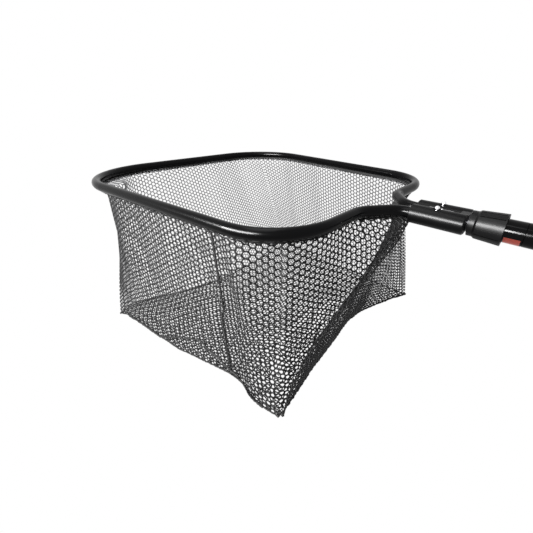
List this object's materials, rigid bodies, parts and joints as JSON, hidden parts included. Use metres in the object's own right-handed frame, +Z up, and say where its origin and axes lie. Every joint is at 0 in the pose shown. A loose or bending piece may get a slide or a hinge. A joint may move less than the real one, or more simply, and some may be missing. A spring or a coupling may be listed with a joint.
{
  "type": "landing net",
  "caption": "Landing net: rounded trapezoid tube hoop in a twin-bore yoke with snap buttons, deep flat-bottomed mesh bag, and a telescoping handle with a twist lock and foam grip.",
  "frame": {"origin": "on the handle's axis, at the middle of the grip", "axes": "+X along the handle from the hoop to the butt, +Z up out of the hoop's plane, the bag hangs towards -Z, +Y across the hoop"},
  "size_m": [1.3254, 0.5142, 0.325],
  "materials": {
    "handle_black": "gloss",
    "hoop_black": "satin",
    "inner_alu": "satin",
    "grip_foam": "matt",
    "plastic_black": "satin",
    "plastic_grey": "matt",
    "mark_red": "gloss",
    "seal_rubber": "matt",
    "steel": "satin",
    "chrome": "polished",
    "hem_cord": "matt",
    "net_rubber": "satin"
  },
  "bodies": {
    "handle": {"outer_tube": "handle_black", "grip": "grip_foam", "grip_ring": "plastic_black", "butt_cap": "plastic_black", "lock_sleeve": "plastic_black", "lock_mark": "mark_red", "collet": "plastic_grey"},
    "collar": {"lock_collar": "plastic_black", "wiper_seal": "seal_rubber"},
    "head": {"inner_tube": "inner_alu", "inner_bush": "plastic_black", "inner_plug": "plastic_black", "yoke_body": "plastic_black", "yoke_pins": "steel", "valley_strip": "steel", "near_button_spring": "steel", "far_button_spring": "steel", "hoop_tube": "hoop_black", "hem_bead": "hem_cord", "hem_band": "hem_cord", "bag_near_wall": "net_rubber", "bag_leading_wall": "net_rubber", "bag_far_wall": "net_rubber", "bag_handle_wall": "net_rubber", "bag_floor": "net_rubber"},
    "near_button": {"near_snap_button": "chrome"},
    "far_button": {"far_snap_button": "chrome"}
  },
  "joints": [
    {"name": "handle_slide", "type": "slide", "parent": "handle", "child": "head", "axis": [-1, 0, 0], "range_m": [0, 0.42]},
    {"name": "collar_twist", "type": "hinge", "parent": "handle", "child": "collar", "pos_m": [-0.47, 0, 0], "axis": [1, 0, 0], "range_deg": [0, 90]},
    {"name": "near_button_press", "type": "slide", "parent": "head", "child": "near_button", "axis": [0, 0, -1], "range_m": [0, 0.0055], "stiffness_N_per_m": 1500, "springref_m": -0.002, "deforming": ["near_button_spring"]},
    {"name": "far_button_press", "type": "slide", "parent": "head", "child": "far_button", "axis": [0, 0, -1], "range_m": [0, 0.0055], "stiffness_N_per_m": 1500, "springref_m": -0.002, "deforming": ["far_button_spring"]}
  ]
}
